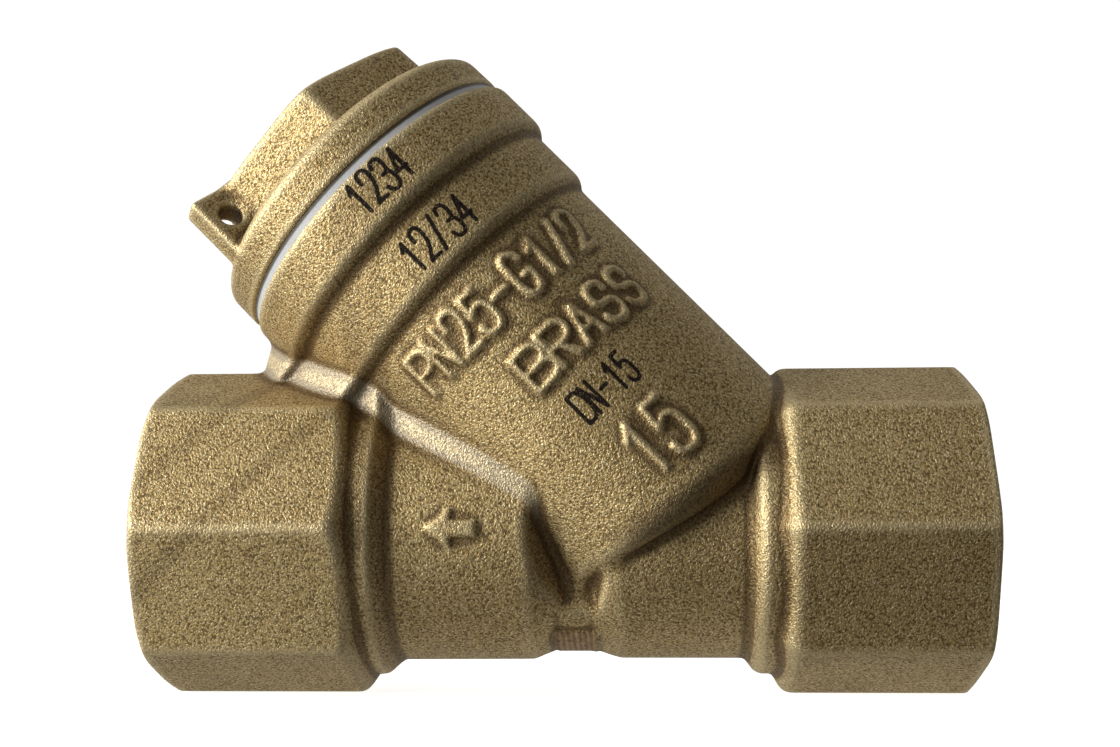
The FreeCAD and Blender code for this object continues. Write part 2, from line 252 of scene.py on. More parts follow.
def branch_coordinates(x, y, z):
    """Rise, distance from the axis, and angle from the front, of points in the row frame."""
    dx, dz = x - CROSSING[0], z - CROSSING[2]
    rise = dx * RISE[0] + dz * RISE[2]
    across = dx * ACROSS[0] + dz * ACROSS[2]
    return rise, np.hypot(across, y), np.arctan2(across, -y)


def polygon_field(across, up, sides, flat_radius, first_corner, softness):
    """Field of a regular prism. first_corner is the angle of one corner, from across towards up."""
    result = None
    for i in range(sides):
        angle = first_corner + (i + 0.5) * 2 * math.pi / sides
        flat = across * math.cos(angle) + up * math.sin(angle) - flat_radius
        result = flat if result is None else soft_max(result, flat, softness)
    return result


def thread_radius(along, angle, thread, clearance=0.0):
    """Radius of a right-hand thread. along and angle follow the right-hand rule about one axis."""
    turn = along / thread["pitch"] - angle / (2 * math.pi)
    wave = np.abs((turn % 1.0) * 2 - 1)
    return thread["minor"] - clearance + thread["depth"] * np.clip(wave * 1.4 - 0.2, 0, 1)


# ---------------------------------------------------------------- marks

# A distance, in millimetres, that is larger than any to a stroke.
FAR = 99.0


def rounded_stroke(points, passes=3):
    """Corner cutting that keeps the two end points, so few points make a smooth curve."""
    for _ in range(passes):
        cut = [points[0]]
        for (ax, ay), (bx, by) in zip(points, points[1:]):
            cut.append((0.75 * ax + 0.25 * bx, 0.75 * ay + 0.25 * by))
            cut.append((0.25 * ax + 0.75 * bx, 0.25 * ay + 0.75 * by))
        points = cut + [points[-1]]
    return points


def text_segments(text, height, length):
    """Strokes of a line of text centred on 0 along the line, as an array of (x0, y0, x1, y1)."""
    advance = length / len(text)
    stretch = advance * GLYPH_SHARE / GLYPH_WIDTH
    segments = []
    for i, letter in enumerate(text):
        glyph = GLYPHS[letter]
        strokes = list(glyph.get("straight", []))
        strokes += [rounded_stroke(points) for points in glyph.get("round", [])]
        left = (i + (1 - GLYPH_SHARE) / 2) * advance - length / 2
        for stroke in strokes:
            for (ax, ay), (bx, by) in zip(stroke, stroke[1:]):
                segments.append((left + ax * stretch, ay * height, left + bx * stretch, by * height))
    return np.array(segments)


def stroke_distance(u, v, segments):
    """Distance from each point to the nearest of the segments."""
    nearest = np.full(u.shape, FAR)
    for ax, ay, bx, by in segments:
        length2 = (bx - ax) ** 2 + (by - ay) ** 2
        t = np.clip(((u - ax) * (bx - ax) + (v - ay) * (by - ay)) / length2, 0, 1)
        nearest = np.minimum(nearest, np.hypot(u - ax - t * (bx - ax), v - ay - t * (by - ay)))
    return nearest


def mark_distance(rise, angle, radius, marks):
    """Distance along the branch's surface from each point to the nearest stroke of any mark."""
    nearest = np.full(rise.shape, FAR)
    for text, baseline, start, end, height in marks:
        middle = math.radians((start + end) / 2)
        length = math.radians(end - start) * radius
        segments = text_segments(text, height, length)
        found = stroke_distance((angle - middle) * radius, rise - baseline, segments)
        nearest = np.minimum(nearest, found)
    return nearest


def relief_lookup(first, second, heights):
    """Function that reads a table of heights, given at evenly spaced places, between its points."""
    def read(a, b):
        step = first[1] - first[0]
        i = np.clip((a - first[0]) / step, 0, len(first) - 1.001)
        j = np.clip((b - second[0]) / step, 0, len(second) - 1.001)
        i0, j0 = i.astype(np.int32), j.astype(np.int32)
        fi, fj = i - i0, j - j0
        low = heights[i0, j0] * (1 - fj) + heights[i0, j0 + 1] * fj
        high = heights[i0 + 1, j0] * (1 - fj) + heights[i0 + 1, j0 + 1] * fj
        return low * (1 - fi) + high * fi
    return read


def raised(distance, half_width, height):
    """Height of a forged stroke: full at its middle, with soft flanks down to nothing."""
    t = np.clip((half_width + 0.22 - distance) / 0.44, 0, 1)
    return height * t * t * (3 - 2 * t)


def branch_relief():
    """Raised marks on the barrel, by rise and by distance round it from the front."""
    rises = np.arange(3.0, 27.6, 0.08)
    arcs = np.arange(-15.0, 15.0, 0.08)
    u, v = np.meshgrid(rises, arcs, indexing="ij")
    distance = mark_distance(u, v / BARREL_RADIUS, BARREL_RADIUS, RAISED_MARKS)
    heights = raised(distance, RAISED_STROKE / 2 - 0.05, RAISED_HEIGHT)
    heights[0] = heights[-1] = 0
    heights[:, 0] = heights[:, -1] = 0
    return relief_lookup(rises, arcs, heights)


def arrow_relief():
    """Raised flow arrow, by distance back along the run and round it from the front."""
    backs = np.arange(ARROW_TIP_BACK - ARROW_LENGTH - 2, ARROW_TIP_BACK + 2, 0.08)
    arcs = np.arange(-4.0, 4.0, 0.08)
    u, v = np.meshgrid(backs, arcs, indexing="ij")
    behind_tip, side = ARROW_TIP_BACK - u, np.abs(v)
    slope = math.atan2(ARROW_HALF_WIDTH, ARROW_HEAD)
    head = side * math.cos(slope) - behind_tip * math.sin(slope)
    head = np.maximum(head, behind_tip - ARROW_HEAD)
    shaft = np.maximum(side - ARROW_SHAFT / 2, np.maximum(1 - behind_tip, behind_tip - ARROW_LENGTH))
    heights = raised(np.minimum(head, shaft) + 0.1, 0.0, RAISED_HEIGHT)
    heights[0] = heights[-1] = 0
    heights[:, 0] = heights[:, -1] = 0
    return relief_lookup(backs, arcs, heights)


# ---------------------------------------------------------------- body


def socket_field(from_face, r, y, z, socket):
    """Octagonal socket: turned down at its face, and sloping at its shoulder, turned or forged."""
    sides = polygon_field(z, y, 8, FLAT_RADIUS, 0, 0.3)
    lean = math.tan(math.radians(socket["face_slope"]))
    chamfer = ((r - socket["face_radius"]) * lean - from_face) / math.hypot(1, lean)
    slope = socket["shoulder_slope"]
    outward = r - CORNER_RADIUS if socket["turned"] else sides
    length = socket["length"] - socket["lean"] * z
    shoulder = (from_face - length + outward * slope) / math.hypot(1, slope)
    blank = soft_max(soft_max(sides, chamfer, 0.2), shoulder, 0.7)
    return soft_max(blank, -from_face, 0.15)


def waist_hollow(back, y, z):
    """Flat-floored hollow with a sloping wall towards the outlet and a steeper one towards the inlet."""
    from_middle = np.abs(y)
    outlet_wall = back - OUTLET_WALL_BACK + OUTLET_WALL_SLOPE * (OUTLET_RUN_RADIUS - from_middle)
    inlet_wall = INLET_WALL_BACK + INLET_WALL_SLOPE * (INLET_RUN_RADIUS - from_middle) - back
    outlet_wall = outlet_wall / math.hypot(1, OUTLET_WALL_SLOPE)
    inlet_wall = inlet_wall / math.hypot(1, INLET_WALL_SLOPE)
    walls = soft_max(outlet_wall, inlet_wall, 0.3)
    return soft_max(soft_max(walls, HOLLOW_FOOT - z, 0.25), HOLLOW_FLOOR - from_middle, 0.4)


def flash_share(back, z):
    """1 on the trimmed flash under the hollow, and 0 beyond its borders."""
    start, end = FLASH_BACKS
    along = np.clip((back - start) / 0.25, 0, 1) * np.clip((end - back) / 0.25, 0, 1)
    return along * np.clip((HOLLOW_FOOT - z) / 0.2, 0, 1) * (z < 0)


def run_field(x, y, z, profiles, reliefs):
    """Straight part: the run with its hollows, and the octagonal socket at each end of it."""
    back, r = -x, np.hypot(y, z)
    around = np.arctan2(z, -y)
    arrow = reliefs["arrow"](back, around * OUTLET_RUN_RADIUS) * (y < 0)
    run_radius = np.interp(back, *profiles["run"]) + arrow + FLASH_HEIGHT * flash_share(back, z)
    run = np.maximum(r - run_radius, np.abs(back - FACE_TO_FACE / 2) - RUN_HALF_LENGTH)
    run = soft_max(run, -waist_hollow(back, y, z), 0.35)
    inlet = socket_field(back, r, y, z, INLET)
    outlet = socket_field(FACE_TO_FACE - back, r, y, z, OUTLET)
    return soft_min(soft_min(run, inlet, 0.35), outlet, 0.35)


def barrel_field(rise, reach, angle, profiles, reliefs):
    radius = np.interp(rise, *profiles["barrel"])
    radius = radius + reliefs["branch"](rise, angle * MARKED_RADIUS) * (np.cos(angle) > 0)
    beyond_tip = np.clip(reach * np.sin(angle) - TIP_ACROSS, -2, None)
    end = BARREL_END - BARREL_END_LEAN * beyond_tip
    barrel = soft_max(reach - radius, end - rise, 0.9)
    sloping_end = reach - radius + end + END_SLOPE * np.maximum(beyond_tip, 0) - rise
    barrel = soft_max(barrel, sloping_end * math.sqrt(0.5), 0.8)
    return soft_max(barrel, rise - MOUTH, 0.3)


def bevel_field(straight, barrel, rise, reach, angle):
    """Flat bevel that fills the crease between the barrel and the straight part, outlet side only."""
    outlet_side = np.clip((-1.0 - reach * np.sin(angle)) / 5, 0, 1) * np.clip((rise - 7.0) / 4, 0, 1)
    width = (BEVEL_PER_RISE * rise + 1.0) * outlet_side - 1.0
    return (straight + barrel - width) * math.sqrt(0.5)


def barrel_blend(rise, reach, angle):
    """How softly the barrel meets the run: widest round the tip of its lower end."""
    low = np.clip((7 - rise) / 5, 0, 1)
    at_tip = np.clip((TIP_ACROSS + 1 - reach * np.sin(angle)) / 3, 0, 1)
    return 0.5 + low * at_tip


def body_outside(x, y, z, profiles, reliefs):
    straight = run_field(x, y, z, profiles, reliefs)
    rise, reach, angle = branch_coordinates(x, y, z)
    barrel = barrel_field(rise, reach, angle, profiles, reliefs)
    bevel = bevel_field(straight, barrel, rise, reach, angle)
    joined = soft_min(straight, barrel, barrel_blend(rise, reach, angle))
    return soft_min(joined, bevel, 0.4)


def socket_bore(from_face, along, r, angle, thread_length, bore_end):
    """Threaded socket that narrows to the plain waterway."""
    fade = np.clip((thread_length + 0.8 - from_face) / 1.5, 0, 1)
    minor = PIPE_THREAD["minor"]
    threaded = minor + (thread_radius(along, angle, PIPE_THREAD) - minor) * fade
    entry = minor + PIPE_THREAD["depth"] + 0.2 - from_face
    narrowing = minor - np.clip((from_face - thread_length) * 1.3, 0, minor - BORE_RADIUS)
    radius = np.where(from_face < thread_length, np.maximum(threaded, entry), narrowing)
    return np.maximum(r - radius, from_face - bore_end)


def branch_bore(rise, reach, angle):
    """Inlet port, screen seat, chamber, and the threaded mouth for the cap."""
    port = np.maximum(reach - PORT_RADIUS, PORT_FOOT - rise)
    seat = np.maximum(reach - SEAT_RADIUS, SEAT_FOOT - rise)
    chamber = soft_max(reach - CHAMBER_RADIUS, CHAMBER_FOOT - rise, 0.5)
    thread = thread_radius(rise, angle, CAP_THREAD)
    entry = CAP_THREAD["minor"] + CAP_THREAD["depth"] + 0.2 - (MOUTH - rise)
    mouth = np.maximum(reach - np.maximum(thread, entry), MOUTH_THREAD_FOOT - rise)
    return np.minimum(np.minimum(port, seat), np.minimum(chamber, mouth))


def body_shapes():
    """Profiles and reliefs that the body's field is made from."""
    profiles = {"run": softened(RUN_PROFILE, 0.25), "barrel": softened(BARREL_PROFILE, 0.3)}
    reliefs = {"branch": branch_relief(), "arrow": arrow_relief()}
    return profiles, reliefs


def body_field(profiles, reliefs):
    def field(x, y, z):
        back, r = -x, np.hypot(y, z)
        run_angle = np.arctan2(z, y)
        outside = body_outside(x, y, z, profiles, reliefs)
        inlet = socket_bore(back, x, r, run_angle, THREAD_LENGTH["inlet"], -CROSSING[0])
        from_outlet = FACE_TO_FACE - back
        outlet = socket_bore(from_outlet, x, r, run_angle, THREAD_LENGTH["outlet"], FACE_TO_FACE - 34.2)
        branch = branch_bore(*branch_coordinates(x, y, z))
        bores = np.minimum(np.minimum(inlet, outlet), branch)
        return np.maximum(outside, -bores)

    return field


# ---------------------------------------------------------------- cap


def fin_field(rise, reach, angle):
    """Radial fin beside the hexagon, a flat plate with a hole for the seal wire."""
    turn = angle - math.radians(FIN_ANGLE)
    outward, sideways = reach * np.cos(turn), np.abs(reach * np.sin(turn))
    edge = soft_max(sideways - FIN_THICKNESS / 2, outward - FIN_REACH, 0.4)
    edge = soft_max(edge, rise - HEX_TOP - 0.1, 0.4)
    fin = np.maximum(np.maximum(edge, HEX_FLAT_RADIUS - 1 - outward), FLANGE_TOP - 1 - rise)
    hole = np.hypot(outward - WIRE_HOLE_REACH, rise - WIRE_HOLE_RISE) - WIRE_HOLE_RADIUS
    return fin, hole


def flange_field(rise, reach, profile):
    flange = soft_max(reach - np.interp(rise, *profile), rise - FLANGE_TOP, 1.2)
    return soft_max(flange, FLANGE_FOOT - rise, 0.3)


def hexagon_field(rise, reach, angle):
    """Drafted hexagon head with a flat top and turned-down corners."""
    turn = angle - math.radians(HEX_CORNER_ANGLE)
    draft = (rise - FLANGE_TOP) * math.tan(math.radians(HEX_DRAFT))
    sides = polygon_field(reach * np.cos(turn), reach * np.sin(turn), 6, HEX_FLAT_RADIUS, 0, 0.5) + draft
    corners = (reach - HEX_CHAMFER_RADIUS) * HEX_CHAMFER_SLOPE + rise - HEX_TOP
    head = soft_max(soft_max(sides, rise - HEX_TOP, 0.5), corners, 0.4)
    return np.maximum(head, FLANGE_TOP - 1 - rise)


def plug_field(rise, reach, angle):
    """Threaded plug with a lead at its foot and a plain relief under the flange."""
    thread = thread_radius(rise, angle, CAP_THREAD, PLUG_CLEARANCE)
    lead = CAP_THREAD["minor"] - 0.6 + (rise - PLUG_FOOT) * 1.2
    relief = np.where(rise > MOUTH - 0.2, CAP_THREAD["minor"] - PLUG_CLEARANCE, thread)
    plug = np.maximum(reach - np.minimum(relief, lead), PLUG_FOOT - rise)
    return np.maximum(plug, rise - FLANGE_FOOT - 0.5)


def cap_field():
    shoulder = [(FLANGE_TOP - 0.9, FLANGE_RADIUS), (FLANGE_TOP, FLANGE_RADIUS - 0.5), (44.0, 12.9)]
    flange_profile = softened([(38.0, FLANGE_RADIUS + 0.05)] + shoulder, 0.3)

    def field(x, y, z):
        rise, reach, angle = branch_coordinates(x, y, z)
        fin, hole = fin_field(rise, reach, angle)
        top = soft_min(hexagon_field(rise, reach, angle), fin, 0.7)
        top = soft_min(top, flange_field(rise, reach, flange_profile), 0.3)
        top = soft_max(top, -hole, 0.15)
        rim_socket = np.maximum(reach - RIM_SOCKET_RADIUS, rise - RIM_SOCKET_TOP)
        cavity = soft_max(reach - CAVITY_RADIUS, rise - CAVITY_TOP, 2.5)
        inside = np.minimum(rim_socket, cavity)
        return np.maximum(np.minimum(top, plug_field(rise, reach, angle)), -inside)

    return field


# ---------------------------------------------------------------- meshing


def mesh_from_field(name, field, low, high):
    """Mesh of the surface where the field is zero, filled in slab by slab to save memory."""
    counts = [int(math.ceil((b - a) / VOXEL)) + 1 for a, b in zip(low, high)]
    axes = [(a + VOXEL * np.arange(n)).astype(np.float32) for a, n in zip(low, counts)]
    values = np.empty(counts, np.float32)
    reach = 4 * VOXEL
    slab = 12
    for start in range(0, counts[0], slab):
        points = np.meshgrid(axes[0][start:start + slab], axes[1], axes[2], indexing="ij")
        values[start:start + slab] = np.clip(field(*points), -reach, reach)
    grid = openvdb.FloatGrid(background=reach)
    grid.copyFromArray(values)
    grid.transform = openvdb.createLinearTransform(voxelSize=VOXEL)
    vertices, _, quads = grid.convertToPolygons(isovalue=0.0, adaptivity=0.0)
    vertices, quads = largest_island(vertices, quads)
    vertices = (vertices + np.array(low, np.float32)) * MM
    return new_mesh(name, vertices, quads)


def largest_island(vertices, quads):
    """The mesh without any speck that is not joined to its largest surface.

    Each vertex is labelled with the lowest vertex that it is known to be joined to.
    """
    start, end = quads.ravel(), np.roll(quads, -1, axis=1).ravel()
    label = np.arange(len(vertices))
    while len(start):
        a, b = label[start], label[end]
        np.minimum.at(label, np.maximum(a, b), np.minimum(a, b))
        while not np.array_equal(label, label[label]):
            label = label[label]
        apart = label[start] != label[end]
        start, end = start[apart], end[apart]
    kept = label == np.bincount(label).argmax()
    new_index = np.cumsum(kept) - 1
    return vertices[kept], new_index[quads[kept[quads[:, 0]]]]


def new_mesh(name, vertices, faces):
    """Object with the given vertices in metres and faces that all have the same corner count."""
    mesh = bpy.data.meshes.new(name)
    count, corners = faces.shape
    mesh.vertices.add(len(vertices))
    mesh.vertices.foreach_set("co", np.ascontiguousarray(vertices, np.float32).ravel())
    mesh.loops.add(count * corners)
    mesh.loops.foreach_set("vertex_index", np.ascontiguousarray(faces, np.int32).ravel())
    mesh.polygons.add(count)
    mesh.polygons.foreach_set("loop_start", np.arange(count, dtype=np.int32) * corners)
    mesh.update(calc_edges=True)
    mesh.validate()
    mesh.shade_smooth()
    made = bpy.data.objects.new(name, mesh)
    bpy.context.scene.collection.objects.link(made)
    return made


def vertex_array(mesh):
    places = np.zeros(len(mesh.vertices) * 3, np.float32)
    mesh.vertices.foreach_get("co", places)
    return places.reshape(-1, 3)


def add_attribute(made, name, values):
    attribute = made.data.attributes.new(name, "FLOAT", "POINT")
    attribute.data.foreach_set("value", values.astype(np.float32))


SPREAD_PASSES = 9


def add_edge_attribute(made):
    """How convex the surface is at each vertex: above 0 on outer edges, below 0 in valleys.

    The bend along each edge of the mesh is averaged at its ends, then spread to neighbours.
    """
    mesh = made.data
    places = vertex_array(mesh).astype(np.float64)
    normals = np.zeros(len(places) * 3, np.float32)
    mesh.vertices.foreach_get("normal", normals)
    normals = normals.reshape(-1, 3).astype(np.float64)
    pairs = np.zeros(len(mesh.edges) * 2, np.int32)
    mesh.edges.foreach_get("vertices", pairs)
    a, b = pairs.reshape(-1, 2).T
    step = places[b] - places[a]
    length = np.maximum(np.linalg.norm(step, axis=1), 1e-9)
    bend = ((normals[b] - normals[a]) * step).sum(1) / (length * length)
    count = np.bincount(a, minlength=len(places)) + np.bincount(b, minlength=len(places))
    count = np.maximum(count, 1)
    value = (np.bincount(a, bend, len(places)) + np.bincount(b, bend, len(places))) / count
    for _ in range(SPREAD_PASSES):
        spread = np.bincount(a, value[b], len(places)) + np.bincount(b, value[a], len(places))
        value = 0.4 * value + 0.6 * spread / count
    add_attribute(made, "edge", np.clip(value * MM, -2, 2))


def add_ink_attribute(made):
    """Distance in millimetres from the edge of the printed strokes, below 0 inside them."""
    x, y, z = vertex_array(made.data).T / MM
    rise, reach, angle = branch_coordinates(x, y, z)
    near = (y < 0) & (reach > 12.5) & (rise > 8)
    ink = np.full(len(x), NO_INK)
    distance = mark_distance(rise[near], angle[near], PRINTED_RADIUS, PRINTED_MARKS)
    ink[near] = distance - PRINTED_STROKE / 2
    add_attribute(made, "ink", ink)


def add_bevel_attribute(made, profiles, reliefs):
    """1 on the bevel between the barrel and the straight part, fading to 0 beyond its borders; a whitish
    reflection is painted there.
    """
    x, y, z = vertex_array(made.data).T / MM
    straight = run_field(x, y, z, profiles, reliefs)
    rise, reach, angle = branch_coordinates(x, y, z)
    barrel = barrel_field(rise, reach, angle, profiles, reliefs)
    bevel = bevel_field(straight, barrel, rise, reach, angle)
    on_bevel = np.clip((np.minimum(straight, barrel) - bevel) / 0.15 + 0.3, 0, 1)
    add_attribute(made, "bevel", on_bevel * (np.hypot(y, z) > 9.5) * (reach > 12))


def between(value, low, high, fade):
    """1 from low to high, fading to 0 over the given distance beyond each."""
    return np.clip((value - low) / fade + 1, 0, 1) * np.clip((high - value) / fade + 1, 0, 1)


def hollow_wall_shade(back, r, z):
    """Painted shade on the outlet-side wall of the waist's hollow, fading towards its foot."""
    on_wall = between(back, 33.1, OUTLET_WALL_BACK, 0.6) * between(r, 6, 10.1, 0.8)
    return on_wall * np.clip((z + 7.5) / 4, 0, 1) * (z < 5)


def barrel_end_shade(r, rise, reach, angle):
    """Painted shade on the barrel's leaning end, just above its crease with the run."""
    beyond_tip = reach * np.sin(angle) - TIP_ACROSS
    above_end = rise - BARREL_END + BARREL_END_LEAN * beyond_tip
    on_end = between(above_end, 0.5, 1.9, 0.8) * (reach < 13.5) * (r > 9.8)
    return on_end * np.clip(beyond_tip / 3, 0, 1)


def step_shade(back, r, rise, reach):
    """Painted shade in the steps beside the outlet's socket and in those of the branch's collars."""
    socket_steps = between(FACE_TO_FACE - back, 16.1, 17.6, 0.5) + between(back, 46.7, 47.4, 0.5)
    collar_steps = between(rise, 27.4, 28.2, 0.5) + between(rise, 33.3, 34.1, 0.5)
    near_socket = (r > 10.5) & (np.abs(back - 48) < 4)
    near_collars = (reach > 12.5) & (rise > 20)
    return np.maximum(socket_steps * near_socket, collar_steps * near_collars)


def add_shade_and_flash_attributes(made):
    """How much dark brown shade is painted in the hollow, on the barrel's end and in steps, and "flash", which is
    1 on the flash.
    """
    x, y, z = vertex_array(made.data).T / MM
    back, r = -x, np.hypot(y, z)
    rise, reach, angle = branch_coordinates(x, y, z)
    painted_shade = np.maximum(0.6 * hollow_wall_shade(back, r, z), 0.9 * barrel_end_shade(r, rise, reach, angle))
    add_attribute(made, "painted_shade", np.maximum(painted_shade, 0.4 * step_shade(back, r, rise, reach)))
    add_attribute(made, "flash", flash_share(back, z) * (r > 9))


def padded_box(node):
    """Box of a CAD node in millimetres, one millimetre larger on every side."""
    low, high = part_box(node)
    return [v / MM - 1 for v in low], [v / MM + 1 for v in high]


def make_body():
    shapes = body_shapes()
    body = mesh_from_field("strainer_body", body_field(*shapes), *padded_box("body"))
    add_edge_attribute(body)
    add_ink_attribute(body)
    add_bevel_attribute(body, *shapes)
    add_shade_and_flash_attributes(body)
    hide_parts("body")
    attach(body, "housing")
    return body


def make_cap():
    cap = mesh_from_field("service_cap", cap_field(), *padded_box("cap"))
    add_edge_attribute(cap)
    add_attribute(cap, "ink", np.full(len(cap.data.vertices), NO_INK))
    for name in ("bevel", "painted_shade", "flash"):
        add_attribute(cap, name, np.zeros(len(cap.data.vertices)))
    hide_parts("cap")
    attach(cap, "service_cap")
    return cap


# ---------------------------------------------------------------- screen

WEAVE_RADIUS = 8.6
WEAVE_FOOT, WEAVE_TOP = 6.0, 36.0
WIRE_RADIUS = 0.11
WEAVE_PITCH = 0.8


def tubes(centres, first, second, closed):
    """Tubes along rows of centre points. first and second span each cross-section."""
    sides = 6
    rows, count = centres.shape[:2]
    turns = np.arange(sides) * 2 * math.pi / sides
    ring = first[:, :, None] * np.cos(turns)[:, None] + second[:, :, None] * np.sin(turns)[:, None]
    vertices = centres[:, :, None] + ring * WIRE_RADIUS
    index = np.arange(rows * count * sides).reshape(rows, count, sides)
    following = np.roll(index, -1, axis=1) if closed else index[:, 1:]
    current = index if closed else index[:, :-1]
    faces = np.stack([
        current, np.roll(current, -1, axis=2), np.roll(following, -1, axis=2), following,
    ], axis=-1)
    return vertices.reshape(-1, 3), faces.reshape(-1, 4)


def on_branch(rise, reach, angle):
    """Points in the row frame, in millimetres, from branch coordinates."""
    radial = np.sin(angle)[..., None] * ACROSS + np.cos(angle)[..., None] * FRONT
    return CROSSING + rise[..., None] * RISE + reach[..., None] * radial, radial


def weave():
    """Upright wires and ring wires that pass over and under each other."""
    uprights = 2 * round(math.pi * WEAVE_RADIUS / WEAVE_PITCH)
    rings = round((WEAVE_TOP - WEAVE_FOOT) / WEAVE_PITCH)
    spacing = (WEAVE_TOP - WEAVE_FOOT) / rings

    wire, step = np.meshgrid(np.arange(uprights), np.arange(2 * rings + 1) / 2, indexing="ij")
    angle = wire * 2 * math.pi / uprights
    wave = np.cos(math.pi * (step - 0.5 + wire)) * WIRE_RADIUS
    centres, radial = on_branch(WEAVE_FOOT + step * spacing, WEAVE_RADIUS + wave, angle)
    upright = tubes(centres, radial, np.cross(RISE, radial), closed=False)

    ring, step = np.meshgrid(np.arange(rings), np.arange(2 * uprights) / 2, indexing="ij")
    angle = step * 2 * math.pi / uprights
    wave = -np.cos(math.pi * (step + ring)) * WIRE_RADIUS
    centres, radial = on_branch(WEAVE_FOOT + (ring + 0.5) * spacing, WEAVE_RADIUS + wave, angle)
    around = tubes(centres, radial, np.broadcast_to(RISE, radial.shape), closed=True)

    vertices = np.concatenate([upright[0], around[0]]) * MM
    faces = np.concatenate([upright[1], around[1] + len(upright[0])])
    return vertices, faces


def make_screen():
    mesh = new_mesh("screen_weave", *weave())
    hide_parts("screen_mesh")
    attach(mesh, "screen")
    return mesh


# ---------------------------------------------------------------- materials

WHITE = (1.0, 1.0, 1.0)
BRASS = {
    "dull": (0.44, 0.300, 0.112),
    "clean": (0.54, 0.382, 0.158),
    "glint": (0.88, 0.76, 0.46),
    "pit": (0.15, 0.095, 0.035),
    # Lighter colour for outer edges: partly wear, partly a painted highlight.
    "worn and highlit edge": (0.80, 0.67, 0.40),
    # Dark colour for valleys: partly dirt, partly painted shade.
    "valley dirt and shade": (0.12, 0.07, 0.028),
    # Painted shade for places that ambient occlusion finds sheltered.
    "ao shade": (0.10, 0.055, 0.022),
    # Painted whitish reflection on the bevel between the barrel and the run.
    "bevel": (0.52, 0.48, 0.38),
    # Painted dark brown shade in the hollow, on the barrel's end and in steps.
    "scale": (0.085, 0.045, 0.018),
    "flash groove": (0.17, 0.07, 0.03),
    "flash ridge": (0.44, 0.28, 0.14),
    "ink": (0.018, 0.013, 0.010),
}
# The darkest PTFE colour is a painted shadow of the cap's flange.
PTFE = {"dull": (0.50, 0.51, 0.52), "clean": (0.62, 0.63, 0.64), "flange shadow": (0.10, 0.085, 0.06)}
STEEL = {"dull": (0.56, 0.55, 0.53), "clean": (0.74, 0.74, 0.73)}
FLOOR = {"dull": (0.86, 0.86, 0.86), "clean": (0.92, 0.92, 0.92), "unseen": (0.12, 0.12, 0.12)}
GLOW_BEHIND = 0.4
GLOW_BESIDE = 0.32

# Bump heights of the brass, in metres.
PIT_DEPTH = 0.00007
GRAIN_HEIGHT = 0.000055
RIDGE_HEIGHT = 0.00004


class Nodes:
    """Short calls for building a material's node tree."""

    def __init__(self, name):
        self.material = bpy.data.materials.new(name)
        self.material.use_nodes = True
        self.tree = self.material.node_tree
        self.shader = self.tree.nodes["Principled BSDF"]
        self.output = self.tree.nodes["Material Output"]

    def add(self, kind, inputs=None, **settings):
        node = self.tree.nodes.new(kind)
        for key, value in settings.items():
            setattr(node, key, value)
        for key, value in (inputs or {}).items():
            self.feed(node.inputs[key], value)
        return node

    def feed(self, socket, value):
        if isinstance(value, bpy.types.NodeSocket):
            self.tree.links.new(value, socket)
        else:
            socket.default_value = value

    def math(self, operation, *values):
        return self.add("ShaderNodeMath", dict(enumerate(values)), operation=operation).outputs[0]

    def noise(self, scale, detail=2.0, roughness=0.5, offset=0.0):
        """Noise between 0 and 1 whose features are about 1/scale metres wide."""
        place = self.add("ShaderNodeTexCoord").outputs["Object"]
        if offset:
            moved = {0: place, 1: (offset,) * 3}
            place = self.add("ShaderNodeVectorMath", moved, operation="ADD").outputs[0]
        inputs = {"Vector": place, "Scale": scale, "Detail": detail, "Roughness": roughness}
        return self.add("ShaderNodeTexNoise", inputs).outputs["Fac"]

    def spread(self, value, low, high, to_low=0.0, to_high=1.0):
        """value mapped from low..high to to_low..to_high, and held there."""
        inputs = {"Value": value, "From Min": low, "From Max": high, "To Min": to_low, "To Max": to_high}
        return self.add("ShaderNodeMapRange", inputs).outputs[0]

    def mix(self, share, a, b, blend="MIX"):
        inputs = {"Factor": share, "A": a, "B": b}
        node = self.tree.nodes.new("ShaderNodeMix")
        node.data_type = "RGBA"
        node.blend_type = blend
        for key, value in inputs.items():
            sockets = [s for s in node.inputs if s.name == key and s.enabled]
            self.feed(sockets[0], value)
        return [s for s in node.outputs if s.enabled][0]

    def bump(self, height, distance, strength=1.0, normal=None):
        inputs = {"Height": height, "Distance": distance, "Strength": strength}
        if normal is not None:
            inputs["Normal"] = normal
        return self.add("ShaderNodeBump", inputs).outputs[0]

    def attribute(self, name):
        return self.add("ShaderNodeAttribute", attribute_name=name).outputs["Fac"]


def shade(value):
    return (*value, 1.0)


